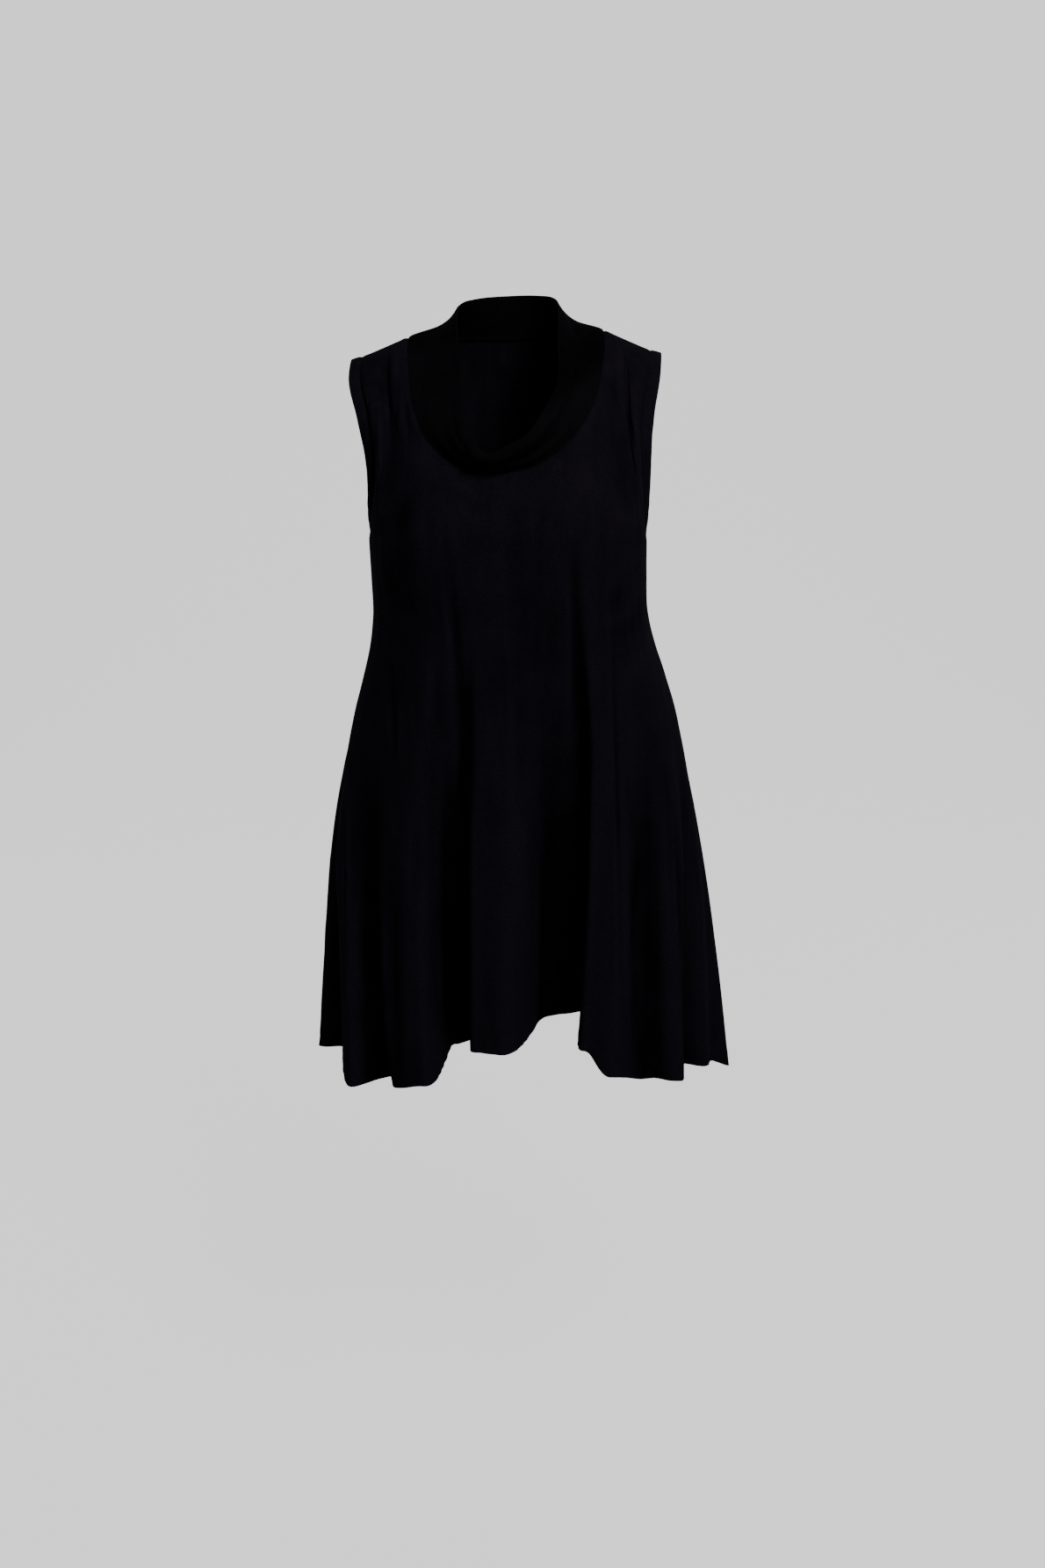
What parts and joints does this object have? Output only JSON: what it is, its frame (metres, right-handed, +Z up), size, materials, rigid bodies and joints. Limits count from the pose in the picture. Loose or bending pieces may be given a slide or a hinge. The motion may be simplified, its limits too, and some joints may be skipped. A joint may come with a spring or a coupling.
{
  "type": "sleeveless swing dress",
  "caption": "Sleeveless black jersey swing dress with a soft doubled cowl collar, close bodice and a full skirt in deep uneven folds, held in its worn shape.",
  "frame": {"origin": "midway between the wearer's shoulders, at the height where they carry the dress", "axes": "+Z up the wearer's body, +X to the viewer's right, -Y to the front of the dress"},
  "size_m": [0.5309, 0.4276, 0.9674],
  "materials": {
    "jersey": "matte black jersey knit, one layer",
    "jersey_doubled": "matte black jersey knit, folded double"
  },
  "bodies": {
    "root": {"front_panel": "jersey", "back_panel": "jersey", "cowl_collar": "jersey_doubled", "armhole_band_left": "jersey_doubled", "armhole_band_right": "jersey_doubled"}
  },
  "joints": []
}
